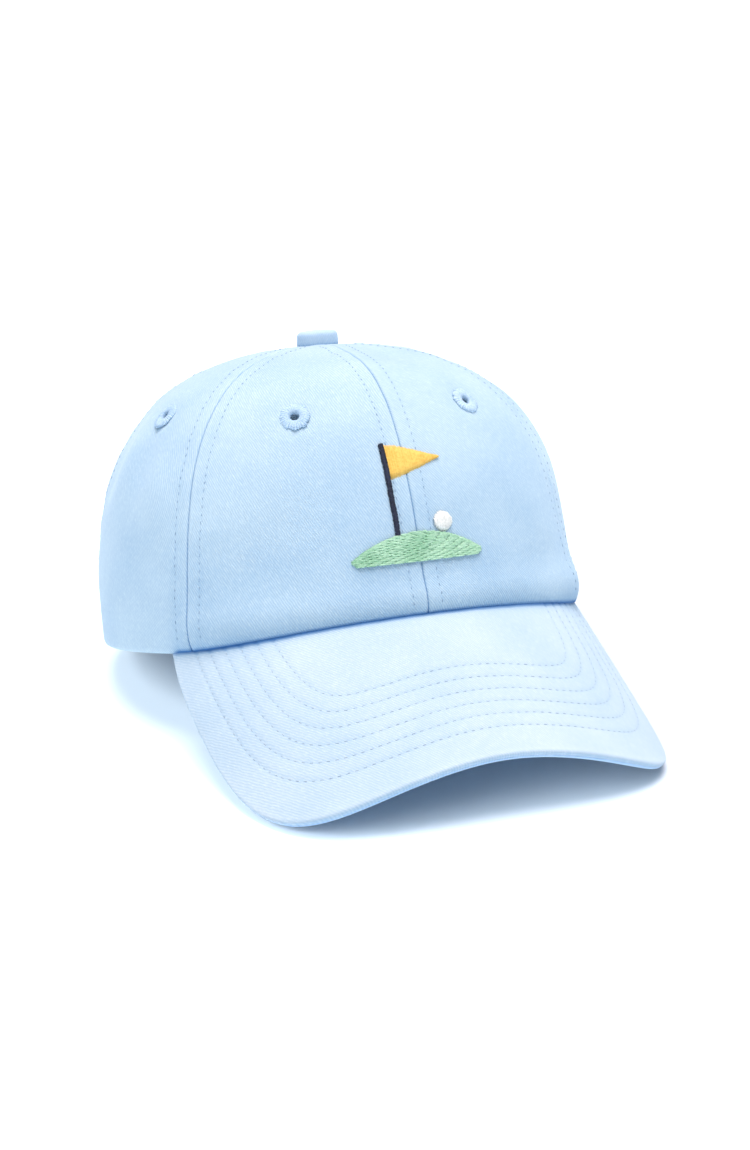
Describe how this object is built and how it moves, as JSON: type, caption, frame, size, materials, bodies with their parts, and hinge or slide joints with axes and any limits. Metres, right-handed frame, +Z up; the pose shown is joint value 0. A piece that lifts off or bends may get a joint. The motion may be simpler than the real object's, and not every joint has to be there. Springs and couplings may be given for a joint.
{
  "type": "baseball cap",
  "caption": "Soft panelled cotton cap with a curved brim, covered top button, stitched air holes and a buckled strap at the back.",
  "frame": {"origin": "on the table under the middle of the cap, which stands on its brim's two front corners and on the back of its hem", "axes": "+Z up, -Y towards the front of the brim, +X towards the wearer's left"},
  "size_m": [0.1748, 0.2471, 0.1281],
  "materials": {
    "cotton_twill": "brushed cotton twill",
    "binding_tape": "herringbone cotton tape",
    "eyelet_thread": "satin stitch",
    "brim_underside": "brushed cotton twill",
    "plated_steel": "plated",
    "brim_plastic": "moulded sheet",
    "sweatband_cotton": "folded cotton twill",
    "label_satin": "blank satin",
    "antique_brass": "antique, satin",
    "thread_green": "satin stitch",
    "thread_navy": "satin stitch",
    "thread_yellow": "satin stitch",
    "thread_white": "satin stitch"
  },
  "bodies": {
    "cap": {"panel_front_left": "cotton_twill", "panel_front_right": "cotton_twill", "panel_side_left": "cotton_twill", "panel_side_right": "cotton_twill", "panel_rear_left": "cotton_twill", "panel_rear_right": "cotton_twill", "seam_tape_front_left": "binding_tape", "seam_tape_front_right": "binding_tape", "seam_tape_rear_left": "binding_tape", "seam_tape_rear_right": "binding_tape", "seam_tape_middle": "binding_tape", "eyelet_front_left": "eyelet_thread", "eyelet_front_right": "eyelet_thread", "eyelet_side_left": "eyelet_thread", "eyelet_side_right": "eyelet_thread", "eyelet_rear_left": "eyelet_thread", "eyelet_rear_right": "eyelet_thread", "button_cover": "cotton_twill", "button_shell": "plated_steel", "button_rivet": "plated_steel", "brim_top_cover": "cotton_twill", "brim_board": "brim_plastic", "brim_bottom_cover": "brim_underside", "sweatband": "sweatband_cotton", "care_label": "label_satin", "opening_binding": "binding_tape", "buckle_tab": "cotton_twill", "buckle_frame": "antique_brass", "buckle_pin": "antique_brass", "emblem_mound": "thread_green", "emblem_pole": "thread_navy", "emblem_flag": "thread_yellow", "emblem_ball": "thread_white"},
    "strap": {"strap": "cotton_twill"},
    "lever": {"buckle_lever": "antique_brass"}
  },
  "joints": [
    {"name": "buckle_lever_hinge", "type": "hinge", "parent": "cap", "child": "lever", "pos_m": [-0.02155, 0.1127, 0.0114], "axis": [0, -0.2588, -0.9659], "range_deg": [0, 110]},
    {"name": "strap_adjust", "type": "hinge", "parent": "cap", "child": "strap", "pos_m": [0, 0.04315, 0.03003], "axis": [0, 0.2588, 0.9659], "range_deg": [0, 10]}
  ]
}
